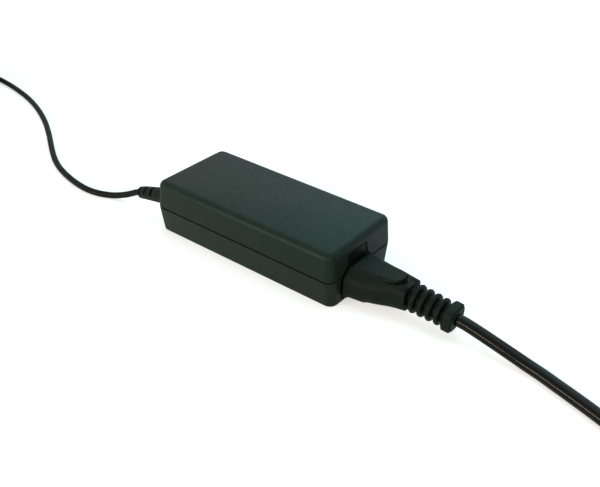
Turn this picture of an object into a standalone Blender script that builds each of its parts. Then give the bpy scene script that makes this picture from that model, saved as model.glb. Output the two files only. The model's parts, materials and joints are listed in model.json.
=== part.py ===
"""A laptop power adapter with its mains lead plugged in and its low-voltage lead attached.

Metres, +Z up. The origin is under the middle of the housing, on the surface it stands on.
+X points out of the mains end, -X out of the low-voltage end, and -Y is the near long side.
"""
import math

import bmesh
import bpy
import numpy as np
from mathutils import Matrix, Vector

# ---- Clearances ----
GAP = 0.0003  # between pieces that touch
SEAM_GAP = 0.0005  # shadow line between the two halves of the housing
OVERCUT = 0.0010  # how far a cutter runs past what it cuts

# ---- Housing ----
CASE_LENGTH = 0.1160  # at the seam
CASE_WIDTH = 0.0515  # at the seam
CASE_HEIGHT = 0.0300
SEAM_HEIGHT = 0.0151
WALL = 0.0020
UPPER_DRAFT = (0.062, 0.050)  # slope of the ends and of the sides above the seam
LOWER_DRAFT = (0.022, 0.159)  # slope of the ends and of the sides below the seam
CORNER_RADIUS = 0.0043
TOP_EDGE_RADIUS = 0.0030
BOTTOM_EDGE_RADIUS = 0.0006
TONGUE_HEIGHT = 0.0015  # lip of the lower half, above the seam
SKIN = 0.0008  # what is left of the upper wall outside the lip
CORNER_SEGMENTS = 5
EDGE_SEGMENTS = 4

# ---- Mains inlet ----
INLET_Y = -0.0035
INLET_Z = 0.0107
NOSE_WIDTH = 0.0236  # part of the connector that goes into the inlet
NOSE_HEIGHT = 0.0150
NOSE_CHAMFER = 0.0050  # of its two upper corners
NOSE_CORNER = 0.0012  # of its two lower corners
NOSE_LENGTH = 0.0156
INLET_WALL = 0.0011
INLET_SETBACK = 0.0008  # of its face, from the end of the housing
INLET_DEPTH = 0.0192
RECESS_DEPTH = 0.0161
INLET_TAB_HALF_WIDTH = 0.0071
INLET_TAB_DROP = 0.0056  # of the tab above it, below the top of the housing
INLET_FLANGE = 0.0016  # how far the flange behind the end wall stands out
INLET_FLANGE_THICKNESS = 0.0025
NOTCH_CHAMFER = 0.0005
PIN_SIZE = (0.0020, 0.0040)  # thickness and height of a flat inlet pin
PIN_PROJECTION = 0.0135
PIN_TAIL = 0.0014
PIN_SPACING = 0.0070  # of the live pins from the middle
PIN_OFFSET = 0.0020  # of the earth pin above, and of the live pins below, the middle

# ---- Mains connector ----
# X is counted from the mains end of the housing, here and for the mains cable and plug.
CONTACT_WALL = 0.0005
CONTACT_LENGTH = 0.0120
CONTACT_SETBACK = 0.0012  # of the contacts from the tip of the nose
RIM_THICKNESS = 0.0019
RIM_BEVEL = 0.0005
GRIP_ROUNDING = 0.0022
# Station along X, half width, underside, height of the crease, top, half width of the top,
# rounding of the lower corners.
GRIP_STATIONS = (
    (0.0026, 0.0129, 0.0031, 0.0145, 0.0189, 0.0073, 0.0044),
    (0.0060, 0.0126, 0.0030, 0.0144, 0.0189, 0.0071, 0.0048),
    (0.0102, 0.0120, 0.0027, 0.0140, 0.0187, 0.0069, 0.0052),
    (0.0126, 0.0115, 0.0034, 0.0137, 0.0186, 0.0068, 0.0054),
    (0.0165, 0.0107, 0.0038, 0.0141, 0.0184, 0.0065, 0.0054),
    (0.0195, 0.0094, 0.0038, 0.0153, 0.0181, 0.0062, 0.0052),
    (0.0225, 0.0083, 0.0040, 0.0163, 0.0179, 0.0058, 0.0050),
    (0.0260, 0.0076, 0.0043, 0.0163, 0.0177, 0.0053, 0.0048),
    (0.0306, 0.0071, 0.0048, 0.0162, 0.0173, 0.0049, 0.0044),
)
RIM_SIZE = (0.0134, 0.0029, 0.0145, 0.0190, 0.0076, 0.0040)  # as a station, at the front
GRIP_REAR_Y = -0.0031  # middle of the grip's rear end
PAD_FRONT_X = 0.0092
PAD_REAR_X = 0.0262
PAD_HALF_WIDTH = 0.0056
PAD_TOP = (0.0186, 0.0193)  # at its front, inside the grip, and at its rear
PAD_GROOVE = 0.0005  # width of the groove round it
PAD_GROOVE_FLOOR = (0.0190, 0.0170)  # at its front, over the grip, and at its rear
PAD_ROOT = 0.0145  # height of its underside, inside the grip
PAD_EDGE = 0.0004

# ---- Ribbed strain relief of the mains connector ----
RELIEF_START = (0.0296, -0.0031, 0.0111)
RELIEF_END = (0.0551, -0.0030, 0.0092)
RELIEF_RIBS = 4
RELIEF_PITCH = 0.00437
RELIEF_FIRST_RIB = 0.0042  # middle of the first rib, from the start
RELIEF_RIB_WIDTH = 0.0024
RELIEF_RIB_RADII = (0.0074, 0.0067)
RELIEF_CORE_RADII = (0.0050, 0.0044)
RIB_ROUNDING = 0.0011
COLLAR_LENGTH = 0.0056
COLLAR_HALF_SIZE = (0.0066, 0.0058)  # across and upwards
COLLAR_CORNER = 0.0032
COLLAR_EDGE = 0.0010
TURN_SEGMENTS = 32

# ---- Mains cable ----
AC_DIAMETER = 0.0061
AC_PITCH = 0.00665  # between neighbouring turns, and between layers
AC_COIL_CENTRE = (0.1826, 0.0087)
AC_COIL_RADIUS = 0.0340
AC_COIL_STEPS = 147  # of 15 degrees
AC_COIL_LAYERS = 4
AC_COIL_START = -112.0  # degrees round the coil
TIE_ROOM = 0.0005  # under a coil, for the tie that holds it
AC_LEAVING = (1.0, -0.01, -0.12)  # the way it leaves the strain relief, sagging a little
# From the strain relief, over the floor, towards the coil.
AC_ROUTE = (
    (0.0667, -0.0035, 0.0075),
    (0.0719, -0.0037, 0.0067),
    (0.0770, -0.0040, 0.0059),
    (0.0822, -0.0042, 0.0048),
    (0.0872, -0.0044, 0.0037),
    (0.0920, -0.0049, 0.0031),
    (0.0970, -0.0060, 0.0031),
    (0.1080, -0.0090, 0.0031),
    (0.1200, -0.0125, 0.0031),
    (0.1320, -0.0161, 0.0031),
    (0.1440, -0.0201, 0.0033),
)
# From the coil down to the plug.
AC_TAIL_ROUTE = (
    (0.2200, -0.0185, 0.0230),
    (0.2300, -0.0162, 0.0195),
)

# ---- Mains plug ----
PLUG_REAR = (0.2480, -0.0155, 0.0123)  # where the cable enters it
PLUG_RELIEF_LENGTH = 0.0200
PLUG_RELIEF_RIBS = 3
PLUG_RELIEF_PITCH = 0.0045
PLUG_RELIEF_RIB_WIDTH = 0.0025
PLUG_RELIEF_RIB_RADII = (0.0053, 0.0062)
PLUG_RELIEF_CORE_RADII = (0.0044, 0.0050)
# Distance from the end of the relief, half width, half height, corner radius.
PLUG_STATIONS = (
    (-0.0015, 0.0062, 0.0062, 0.0050),
    (0.0030, 0.0085, 0.0072, 0.0052),
    (0.0100, 0.0112, 0.0086, 0.0054),
    (0.0160, 0.0116, 0.0090, 0.0054),
    (0.0210, 0.0126, 0.0106, 0.0056),
    (0.0250, 0.0134, 0.0118, 0.0058),
    (0.0335, 0.0135, 0.0119, 0.0058),
    (0.0350, 0.0127, 0.0111, 0.0052),
)
BLADE_SIZE = (0.0177, 0.0015, 0.0063)  # projection, thickness, height
BLADE_SPACING = 0.00635  # of each blade from the middle
BLADE_DROP = 0.0042  # of the blades below the middle of the plug
EARTH_RADIUS = 0.0024
EARTH_PROJECTION = 0.0206
EARTH_RISE = 0.0119  # of the earth pin above the blades
PLUG_SOCKET_DEPTH = 0.0060  # how far the pins reach into the moulding

# ---- Low-voltage strain relief ----
# X and Y are counted from where it leaves the housing, here and for that cable and plug.
DC_EXIT_INSET = 0.01045  # from the near side of the housing at the seam
DC_NECK_RADIUS = 0.0032
DC_FLANGE_RADIUS = 0.0046
DC_FLANGE_LENGTH = 0.0028
DC_RELIEF_RADII = (0.0047, 0.0034)  # at the housing and near the tip
DC_TIP_RADIUS = 0.0024
# Its middle line outside the housing, drooping under the cable's weight.
DC_RELIEF_LINE = (
    (-0.0003, 0.0000, 0.0151),
    (-0.0040, 0.0000, 0.0146),
    (-0.0080, 0.0000, 0.0138),
    (-0.0140, 0.0000, 0.0124),
    (-0.0210, 0.0000, 0.0107),
    (-0.0245, 0.0000, 0.0095),
)
DC_SLOTS = (-0.0118, -0.0170, -0.0223)  # X of each slot
DC_SLOT_WIDTH = 0.0016
DC_SLOT_DEPTH = 0.0014
DC_SLOT_SPAN = 0.0056
DC_SLOT_ANGLE = 55.0  # degrees above the horizontal, on the near side

# ---- Low-voltage cable ----
DC_DIAMETER = 0.0036
DC_PITCH = 0.0041
DC_COIL_CENTRE = (-0.2610, 0.0328)
DC_COIL_RADIUS = 0.0194
DC_COIL_STEPS = 299
DC_COIL_LAYERS = 4
DC_COIL_START = 90.0
DC_ROUTE = (
    (-0.0310, -0.0004, 0.0067),
    (-0.0379, -0.0013, 0.0036),
    (-0.0443, -0.0037, 0.0020),
    (-0.0505, -0.0065, 0.0018),
    (-0.0587, -0.0083, 0.0018),
    (-0.0680, -0.0082, 0.0018),
    (-0.0792, -0.0064, 0.0018),
    (-0.0900, -0.0036, 0.0018),
    (-0.1010, 0.0006, 0.0018),
    (-0.1125, 0.0067, 0.0018),
    (-0.1240, 0.0139, 0.0018),
    (-0.1390, 0.0236, 0.0018),
    (-0.1560, 0.0335, 0.0018),
    (-0.1740, 0.0421, 0.0018),
    (-0.1930, 0.0491, 0.0018),
    (-0.2120, 0.0539, 0.0018),
    (-0.2320, 0.0571, 0.0020),
)
DC_TAIL_ROUTE = (
    (-0.2540, 0.0045, 0.0139),
    (-0.2450, 0.0021, 0.0108),
    (-0.2370, 0.0000, 0.0074),
)

# ---- Low-voltage plug ----
DC_PLUG_REAR = (-0.2310, -0.0016, 0.0056)
DC_PLUG_HEADING = -15.0  # degrees from +X
# Distance from the rear and radius of the moulded grip.
DC_GRIP_PROFILE = (
    (0.0000, 0.0027),
    (0.0006, 0.0030),
    (0.0085, 0.0036),
    (0.0100, 0.0050),
    (0.0115, 0.0054),
    (0.0200, 0.0055),
    (0.0235, 0.0051),
    (0.0285, 0.0048),
    (0.0295, 0.0042),
)
DC_BARREL_LENGTH = 0.0100
DC_BARREL_RADII = (0.00275, 0.00245)
DC_INSULATOR_RADII = (0.00215, 0.00185)
DC_CONTACT_RADII = (0.00155, 0.00125)
DC_LIP = 0.0010  # front lip of the insulator
DC_SEAT = 0.0045  # how far the barrel reaches into the grip

# ---- Circuit board and what stands on it ----
BOARD_ENDS = (0.0070, 0.0225)  # from the low-voltage and the mains end of the housing
BOARD_EDGE = 0.00525  # from the side of the housing at the seam
BOARD_BOTTOM = 0.0050
BOARD_THICKNESS = 0.0016
SHEET_THICKNESS = 0.0005
SPREADER_THICKNESS = 0.0008
SPREADER_FLANGE = 0.0080
# Length, width and headroom that the layout below is drawn for. It stretches with the real
# ones. Places are counted from the middle of the board's low-voltage end.
LAYOUT_SIZE = (0.0865, 0.0410, 0.0200)
POST_RADIUS = 0.0022
POST_PLACES = ((0.0050, 0.0165), (0.0820, 0.0165))
SHEET_X = (0.0080, 0.0790)
SHEET_HALF_WIDTH = 0.0180
SPREADER_X = (0.0010, 0.0850)
SPREADER_HALF_WIDTH = 0.0215
HEATSINK_THICKNESS = 0.0020
HEATSINK_Y = 0.0185  # of a heatsink's outer face
PRIMARY_HEATSINK_X = (0.0370, 0.0635)
SECONDARY_HEATSINK_X = (0.0020, 0.0210)
TRANSISTOR_BODY = (0.0100, 0.0044, 0.0150)
TRANSISTOR_LEG = (0.0010, 0.0006, 0.0030)
LEG_SPACING = 0.0025
SWITCH_X = 0.0530
RECTIFIER_X = 0.0120
BULK_CAPACITOR = (0.0080, 0.0260)  # radius and length
BULK_CAPACITOR_AT = (0.0510, 0.0075)
OUTPUT_CAPACITOR = (0.0050, 0.0180)
OUTPUT_CAPACITORS_AT = (("near", 0.0120, -0.0060), ("far", 0.0120, 0.0055))
CAN_CRIMP = 0.0004
OUTPUT_CHOKE = (0.0040, 0.0120)
OUTPUT_CHOKE_AT = (0.0125, -0.0158)
CHOKE_WAIST = 0.8  # of the radius
CHOKE_FLANGE = 0.12  # of the height
FUSE = (0.0042, 0.0080)
FUSE_AT = (0.0805, 0.0120)
VARISTOR = (0.0050, 0.0040)
VARISTOR_AT = (0.0830, -0.0130)
Y_CAPACITOR = (0.0040, 0.0035)
Y_CAPACITOR_AT = (0.0420, -0.0120)
X_CAPACITOR = (0.0080, 0.0170, 0.0150)
X_CAPACITOR_AT = (0.0710, 0.0090)
BRIDGE = (0.0150, 0.0034, 0.0105)
BRIDGE_AT = (0.0740, -0.0015)
CHIP = (0.0050, 0.0040, 0.0016)
CHIP_AT = (0.0580, -0.0060)
OPTOCOUPLER = (0.0046, 0.0065, 0.0035)
OPTOCOUPLER_AT = (0.0405, -0.0043)
COMPONENT_BEVEL = 0.0003
CHOKE_AT = (0.0715, -0.0118)
CHOKE_CORE_RADII = (0.0070, 0.0042)
CHOKE_CORE_HEIGHT = 0.0070
CHOKE_WIRE = 0.0010  # thickness of its windings
CHOKE_SPLIT = 0.0025  # half the space between its windings
TRANSFORMER_X = 0.0270
CORE_SIZE = (0.0080, 0.0260, 0.0185)
CORE_LEG = 0.0080
CORE_YOKE = 0.0030
CORE_WINDOW = 0.0052
WINDING_OVERHANG = 0.0048
WINDING_BEVEL = 0.0008
WIRE_DIAMETER = 0.0015
WIRE_SPREAD = 0.0016  # of each wire from the middle of the cable

END_X = CASE_LENGTH / 2
DC_EXIT_Y = DC_EXIT_INSET - CASE_WIDTH / 2
INLET_FACE_X = END_X - INLET_SETBACK
INLET_TAB_TOP = CASE_HEIGHT - INLET_TAB_DROP
CONNECTOR_FACE_X = END_X + GAP
SEAT_Z = BOARD_BOTTOM + BOARD_THICKNESS + GAP
CEILING = CASE_HEIGHT - WALL
SPREADER_BOTTOM = CEILING - GAP - SPREADER_THICKNESS
BOARD_X = (BOARD_ENDS[0] - END_X, END_X - BOARD_ENDS[1])
BOARD_HALF_WIDTH = CASE_WIDTH / 2 - BOARD_EDGE
ALONG = (BOARD_X[1] - BOARD_X[0]) / LAYOUT_SIZE[0]
ACROSS = 2 * BOARD_HALF_WIDTH / LAYOUT_SIZE[1]
UPWARD = (SPREADER_BOTTOM - SEAT_Z) / LAYOUT_SIZE[2]
STANDING = min(ALONG, ACROSS)  # stretch of what is round and stands
LYING = min(ACROSS, UPWARD)  # stretch of what is round and lies along the board

# Name, base colour, roughness, metallic.
MATERIALS = {
    "case_plastic": ((0.022, 0.026, 0.026), 0.42, 0.0),
    "cable_jacket": ((0.010, 0.012, 0.012), 0.30, 0.0),
    "moulded_rubber": ((0.016, 0.019, 0.019), 0.45, 0.0),
    "inlet_plastic": ((0.018, 0.020, 0.020), 0.40, 0.0),
    "plated_metal": ((0.72, 0.71, 0.68), 0.25, 1.0),
    "brass": ((0.72, 0.52, 0.23), 0.30, 1.0),
    "board": ((0.42, 0.34, 0.14), 0.55, 0.0),
    "component_black": ((0.020, 0.020, 0.022), 0.40, 0.0),
    "component_yellow": ((0.75, 0.55, 0.08), 0.45, 0.0),
    "component_blue": ((0.05, 0.16, 0.45), 0.45, 0.0),
    "ferrite": ((0.055, 0.055, 0.060), 0.65, 0.0),
    "copper": ((0.72, 0.32, 0.16), 0.30, 1.0),
    "aluminium": ((0.75, 0.75, 0.76), 0.35, 1.0),
    "film": ((0.75, 0.72, 0.62), 0.40, 0.0),
    "wire_red": ((0.45, 0.03, 0.03), 0.45, 0.0),
}


# ---- Tools ----
def clear_scene():
    for old in list(bpy.data.objects):
        bpy.data.objects.remove(old, do_unlink=True)


def collection(name):
    made = bpy.data.collections.new(name)
    bpy.context.scene.collection.children.link(made)
    return made


def material(name):
    made = bpy.data.materials.get(name)
    if made:
        return made
    colour, roughness, metallic = MATERIALS[name]
    made = bpy.data.materials.new(name)
    made.use_nodes = True
    shader = made.node_tree.nodes["Principled BSDF"]
    shader.inputs["Base Color"].default_value = (*colour, 1.0)
    shader.inputs["Roughness"].default_value = roughness
    shader.inputs["Metallic"].default_value = metallic
    made.diffuse_color = (*colour, 1.0)
    return made


def mesh_from(bm, name):
    bmesh.ops.recalc_face_normals(bm, faces=bm.faces)
    mesh = bpy.data.meshes.new(name)
    bm.to_mesh(mesh)
    bm.free()
    return mesh


def part(name, mesh, finish):
    made = bpy.data.objects.new(name, mesh)
    made.data.materials.append(material(finish))
    PARTS.objects.link(made)
    return made


def cutter(bm, name="cutter"):
    made = bpy.data.objects.new(name, mesh_from(bm, name))
    made.hide_render = True
    made.display_type = "WIRE"
    CUTTERS.objects.link(made)
    return made


def combine(target, tool, operation):
    """Cut, join or intersect with the exact solver, and put the result in the mesh."""
    modifier = target.modifiers.new(operation.lower(), "BOOLEAN")
    modifier.operation = operation
    modifier.solver = "EXACT"
    modifier.object = tool
    settle(target)
    bpy.data.objects.remove(tool, do_unlink=True)
    return target


def cut(target, bm):
    return combine(target, cutter(bm), "DIFFERENCE")


def join(target, bm):
    return combine(target, cutter(bm, "joined"), "UNION")


def settle(target):
    """Replace the object's mesh by its evaluated one."""
    bpy.context.view_layer.update()
    depsgraph = bpy.context.evaluated_depsgraph_get()
    mesh = bpy.data.meshes.new_from_object(target.evaluated_get(depsgraph))
    mesh.name = target.name
    target.modifiers.clear()
    target.data = mesh


def smooth(made, angle=35.0):
    made.data.shade_smooth()
    made.data.set_sharp_from_angle(angle=math.radians(angle))
    return made


def box(low, high, bevel=0.0, segments=1, bm=None):
    """A block between two corners."""
    bm = bm or bmesh.new()
    low, high = Vector(low), Vector(high)
    size = high - low
    place = Matrix.Translation((low + high) / 2) @ Matrix.Diagonal((*size, 1.0))
    made = bmesh.ops.create_cube(bm, size=1.0, matrix=place)
    if bevel:
        edges = list({edge for vert in made["verts"] for edge in vert.link_edges})
        bmesh.ops.bevel(
            bm, geom=edges, offset=bevel, segments=segments, profile=0.5, affect="EDGES"
        )
    return bm


def cylinder(radius, low, high, axis="Z", segments=24, bm=None):
    """A round bar from one point to another point along one axis."""
    bm = bm or bmesh.new()
    low, high = Vector(low), Vector(high)
    turn = {"X": Matrix.Rotation(math.pi / 2, 4, "Y"), "Y": Matrix.Rotation(math.pi / 2, 4, "X")}
    place = Matrix.Translation((low + high) / 2) @ turn.get(axis, Matrix())
    bmesh.ops.create_cone(
        bm,
        cap_ends=True,
        segments=segments,
        radius1=radius,
        radius2=radius,
        depth=(high - low).length,
        matrix=place,
    )
    return bm


def turned(name, profile, closed, finish, place=None, segments=TURN_SEGMENTS):
    """Turn a profile of (radius, height) points about Z, its outer side running downwards."""
    bm = bmesh.new()
    verts = [bm.verts.new((radius, 0.0, height)) for radius, height in profile]
    pairs = list(zip(verts, verts[1:]))
    if closed:
        pairs.append((verts[-1], verts[0]))
    for pair in pairs:
        bm.edges.new(pair)
    mesh = bpy.data.meshes.new(name)
    bm.to_mesh(mesh)
    bm.free()
    made = part(name, mesh, finish)
    screw = made.modifiers.new("turn", "SCREW")
    screw.axis = "Z"
    screw.steps = segments
    screw.render_steps = segments
    screw.use_merge_vertices = True
    screw.merge_threshold = 0.00001
    settle(made)
    made.data.transform(place or Matrix())
    return smooth(made)


def turned_bmesh(profile, place, segments=TURN_SEGMENTS):
    """A turned shape as mesh data, for joining to another piece."""
    made = turned("turned", profile, False, "moulded_rubber", place, segments)
    bm = bmesh.new()
    bm.from_mesh(made.data)
    bpy.data.objects.remove(made, do_unlink=True)
    return bm


def along(start, direction):
    """A frame whose +Z runs from start along a direction, with +X kept level."""
    z_axis = Vector(direction).normalized()
    x_axis = z_axis.cross(Vector((0.0, 0.0, 1.0))).normalized()
    if x_axis.length < 0.5:
        x_axis = Vector((1.0, 0.0, 0.0))
    y_axis = z_axis.cross(x_axis)
    turn = Matrix((x_axis, y_axis, z_axis)).transposed().to_4x4()
    return Matrix.Translation(start) @ turn


def rounded_outline(corners, radii, steps=3):
    """A closed outline through rounded corners: each corner is a short quadratic arc."""
    points = []
    count = len(corners)
    for index, (corner, radius) in enumerate(zip(corners, radii)):
        corner = Vector(corner)
        before = Vector(corners[index - 1]) - corner
        after = Vector(corners[(index + 1) % count]) - corner
        start = corner + before.normalized() * min(radius, before.length * 0.49)
        end = corner + after.normalized() * min(radius, after.length * 0.49)
        for step in range(steps + 1):
            t = step / steps
            points.append(start.lerp(corner, t).lerp(corner.lerp(end, t), t))
    return points


def loft(sections):
    """Skin a row of outlines that have the same number of points, and close both ends."""
    bm = bmesh.new()
    rows = [[bm.verts.new(point) for point in section] for section in sections]
    for row, following in zip(rows, rows[1:]):
        for index in range(len(row)):
            other = (index + 1) % len(row)
            bm.faces.new((row[index], row[other], following[other], following[index]))
    bm.faces.new(reversed(rows[0]))
    bm.faces.new(rows[-1])
    return bm


def prism(outline, start, end):
    """Extrude a (y, z) outline along X."""
    bm = bmesh.new()
    face = bm.faces.new([bm.verts.new((start, y, z)) for y, z in outline])
    moved = bmesh.ops.extrude_face_region(bm, geom=[face])["geom"]
    verts = [item for item in moved if isinstance(item, bmesh.types.BMVert)]
    bmesh.ops.translate(bm, verts=verts, vec=(end - start, 0.0, 0.0))
    return bm


# ---- Cables ----
def smooth_line(points, step):
    """Points spaced evenly on a smooth curve through the given ones."""
    points = [np.array(point) for point in points]
    padded = [2 * points[0] - points[1], *points, 2 * points[-1] - points[-2]]
    fine = []
    for before, start, end, after in zip(padded, padded[1:], padded[2:], padded[3:]):
        for t in np.linspace(0.0, 1.0, 24, endpoint=False):
            fine.append(
                0.5
                * (
                    2 * start
                    + (end - before) * t
                    + (2 * before - 5 * start + 4 * end - after) * t**2
                    + (3 * start - before - 3 * end + after) * t**3
                )
            )
    fine = np.array([*fine, points[-1]])
    reached = np.concatenate([[0.0], np.cumsum(np.linalg.norm(np.diff(fine, axis=0), axis=1))])
    wanted = np.linspace(0.0, reached[-1], max(2, round(reached[-1] / step)) + 1)
    return np.stack([np.interp(wanted, reached, fine[:, axis]) for axis in range(3)], 1)


def tube(name, points, diameter, resolution, finish):
    """A cable along points, with flat closed ends."""
    curve = bpy.data.curves.new(name, "CURVE")
    curve.dimensions = "3D"
    curve.bevel_depth = diameter / 2
    curve.bevel_resolution = resolution
    curve.use_fill_caps = True
    curve.render_resolution_u = 0
    spline = curve.splines.new("POLY")
    spline.points.add(len(points) - 1)
    for target, point in zip(spline.points, points):
        target.co = (*point, 1.0)
    made = bpy.data.objects.new(name, curve)
    curve.materials.append(material(finish))
    PARTS.objects.link(made)
    return made


def coil_line(centre, radius, pitch, steps, layers, start, diameter):
    """The middle line of a coil of piled turns that spiral in and out again.

    Each layer winds the other way across than the one below it, and the cable climbs a
    layer in the half turn where the spiral reverses. Both ends run on straight for one diameter.
    """
    total = math.radians(15.0) * steps
    layer_turn = total / layers
    spread = pitch * layer_turn / math.tau / 2
    floor = TIE_ROOM + diameter / 2
    points = []
    for step in range(steps + 1):
        turned_by = total * step / steps
        place = turned_by / layer_turn
        layer = min(int(place), layers - 1)
        across = place - layer
        way = 1.0 if layer % 2 == 0 else -1.0
        distance = radius + way * spread * (1.0 - 2.0 * across)
        height = 0.0
        for climb in range(1, layers):
            passed = (turned_by - climb * layer_turn) / math.pi + 0.5
            passed = min(max(passed, 0.0), 1.0)
            height += passed * passed * (3.0 - 2.0 * passed)
        angle = math.radians(start) + turned_by
        points.append(
            np.array(
                (
                    centre[0] + distance * math.cos(angle),
                    centre[1] + distance * math.sin(angle),
                    floor + pitch * height,
                )
            )
        )
    first = points[0] + tangent(points[0], points[1], centre) * -diameter
    last = points[-1] + tangent(points[-1], points[-2], centre) * -diameter
    return np.array([first, *points, last])


def tangent(point, inward, centre):
    """Level unit direction square to the radius, pointing from point towards inward."""
    radius = point[:2] - np.array(centre)
    level = np.array((-radius[1], radius[0], 0.0))
    level /= np.linalg.norm(level)
    return level * np.sign(np.dot(level, inward - point))


def least_gap(name, points, diameter):
    """Print the least gap between turns, measured on points along the middle line."""
    step = diameter / 4
    fine = []
    for start, end in zip(points, points[1:]):
        count = max(1, round(float(np.linalg.norm(end - start)) / step))
        fine.extend(start + (end - start) * part_way / count for part_way in range(count))
    fine = np.array(fine)
    skip = round(math.pi * diameter * 2 / step)
    least = min(
        float(np.linalg.norm(fine[index + skip :] - fine[index], axis=1).min())
        for index in range(len(fine) - skip)
    )
    print(f"{name}: least gap between turns {1000 * (least - diameter):.2f} mm")


def length_of(*lines):
    return sum(float(np.linalg.norm(np.diff(line, axis=0), axis=1).sum()) for line in lines)


# ---- Housing ----
def case_block(half, z_wide, z_narrow, inset, draft, radius, edge=0.0, segments=EDGE_SEGMENTS):
    """A block with rounded upright corners that tapers away from the seam."""
    bm = bmesh.new()
    bmesh.ops.create_cube(bm, size=1.0)
    height = abs(z_narrow - z_wide)
    for vert in bm.verts:
        z = z_narrow if (vert.co.z > 0) == (half > 0) else z_wide
        away = half * (z - SEAM_HEIGHT)
        vert.co.x = math.copysign(CASE_LENGTH / 2 - inset - draft[0] * away, vert.co.x)
        vert.co.y = math.copysign(CASE_WIDTH / 2 - inset - draft[1] * away, vert.co.y)
        vert.co.z = z
    upright = [e for e in bm.edges if abs(e.verts[0].co.z - e.verts[1].co.z) > height / 2]
    bmesh.ops.bevel(
        bm, geom=upright, offset=radius, segments=CORNER_SEGMENTS, profile=0.5, affect="EDGES"
    )
    if edge:
        rim = [e for e in bm.edges if all(abs(v.co.z - z_narrow) < 1e-6 for v in e.verts)]
        bmesh.ops.bevel(
            bm, geom=rim, offset=edge, segments=segments, profile=0.5, affect="EDGES"
        )
    return bm


def cut_inlet_opening(shell):
    end = END_X
    inside = end - WALL - 2 * OVERCUT
    behind = INLET_FACE_X - INLET_DEPTH - GAP
    cut(shell, prism(nose_outline(2 * GAP + INLET_WALL), behind, end + OVERCUT))
    tab = INLET_TAB_HALF_WIDTH + GAP
    cut(
        shell,
        box(
            (inside, INLET_Y - tab, INLET_Z),
            (end + OVERCUT, INLET_Y + tab, INLET_TAB_TOP + GAP),
        ),
    )


def chamfer_inlet_notch(shell):
    """Bevel the edge of the notch above the inlet, on the outside of the end wall."""
    tab = INLET_TAB_HALF_WIDTH + GAP
    top = INLET_TAB_TOP + GAP
    end = END_X - UPPER_DRAFT[0] * (top - SEAM_HEIGHT)
    sections = []
    for x, grow in ((end - NOTCH_CHAMFER, 0.0), (end + OVERCUT, NOTCH_CHAMFER + OVERCUT)):
        sections.append(
            [
                Vector((x, INLET_Y - tab - grow, INLET_Z)),
                Vector((x, INLET_Y + tab + grow, INLET_Z)),
                Vector((x, INLET_Y + tab + grow, top + grow)),
                Vector((x, INLET_Y - tab - grow, top + grow)),
            ]
        )
    cut(shell, loft(sections))


def cut_cable_hole(shell):
    end = -END_X
    cut(
        shell,
        cylinder(
            DC_NECK_RADIUS + GAP,
            (end - OVERCUT, DC_EXIT_Y, SEAM_HEIGHT),
            (end + WALL + OVERCUT, DC_EXIT_Y, SEAM_HEIGHT),
            "X",
        ),
    )


def build_upper_case():
    rim = SEAM_HEIGHT + SEAM_GAP / 2
    shell = part(
        "upper_case",
        mesh_from(
            case_block(1, rim, CASE_HEIGHT, 0.0, UPPER_DRAFT, CORNER_RADIUS, TOP_EDGE_RADIUS),
            "upper_case",
        ),
        "case_plastic",
    )
    below = SEAM_HEIGHT - OVERCUT
    cut(
        shell,
        case_block(
            1,
            below,
            CEILING,
            WALL,
            UPPER_DRAFT,
            CORNER_RADIUS - WALL,
            TOP_EDGE_RADIUS - WALL,
            2,
        ),
    )
    rebate_top = SEAM_HEIGHT + TONGUE_HEIGHT + GAP
    cut(shell, case_block(1, below, rebate_top, SKIN, (0.0, 0.0), CORNER_RADIUS - SKIN))
    cut_inlet_opening(shell)
    chamfer_inlet_notch(shell)
    cut_cable_hole(shell)
    return smooth(shell, 30.0)


def build_lower_case():
    rim = SEAM_HEIGHT - SEAM_GAP / 2
    shell = part(
        "lower_case",
        mesh_from(
            case_block(
                -1, rim, 0.0, 0.0, LOWER_DRAFT, CORNER_RADIUS, BOTTOM_EDGE_RADIUS, 2
            ),
            "lower_case",
        ),
        "case_plastic",
    )
    level = (0.0, 0.0)
    lip = SKIN + GAP
    lip_top = SEAM_HEIGHT + TONGUE_HEIGHT
    join(
        shell,
        case_block(1, SEAM_HEIGHT - OVERCUT, lip_top, lip, level, CORNER_RADIUS - lip),
    )
    cut(shell, case_block(-1, SEAM_HEIGHT, WALL, WALL, LOWER_DRAFT, CORNER_RADIUS - WALL))
    cut(
        shell,
        case_block(
            1, SEAM_HEIGHT - OVERCUT / 2, lip_top + OVERCUT, WALL, level, CORNER_RADIUS - WALL
        ),
    )
    post_top = BOARD_BOTTOM - GAP
    for place in POST_PLACES:
        x, y = on_board(*place)
        for side in (-1, 1):
            join(
                shell,
                cylinder(
                    POST_RADIUS,
                    (x, side * y, WALL / 2),
                    (x, side * y, post_top),
                    segments=12,
                ),
            )
    cut_inlet_opening(shell)
    cut_cable_hole(shell)
    return smooth(shell, 30.0)


# ---- Mains inlet ----
def nose_outline(grow):
    """The outline of the connector's nose in (y, z), with its two upper corners cut off."""
    half_width = NOSE_WIDTH / 2 + grow
    half_height = NOSE_HEIGHT / 2 + grow
    upper = NOSE_CHAMFER + grow * (2.0 - math.sqrt(2.0))
    lower = NOSE_CORNER + grow * (2.0 - math.sqrt(2.0))
    half = [
        (half_width - lower, -half_height),
        (half_width, lower - half_height),
        (half_width, half_height - upper),
        (half_width - upper, half_height),
    ]
    mirrored = [(-y, z) for y, z in reversed(half)]
    return [(INLET_Y + y, INLET_Z + z) for y, z in half + mirrored]


def pin_places():
    """Name, y and z of each pin: two live ones low, the earth one high in the middle."""
    return (
        ("line", INLET_Y - PIN_SPACING, INLET_Z - PIN_OFFSET),
        ("neutral", INLET_Y + PIN_SPACING, INLET_Z - PIN_OFFSET),
        ("earth", INLET_Y, INLET_Z + PIN_OFFSET),
    )


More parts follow.
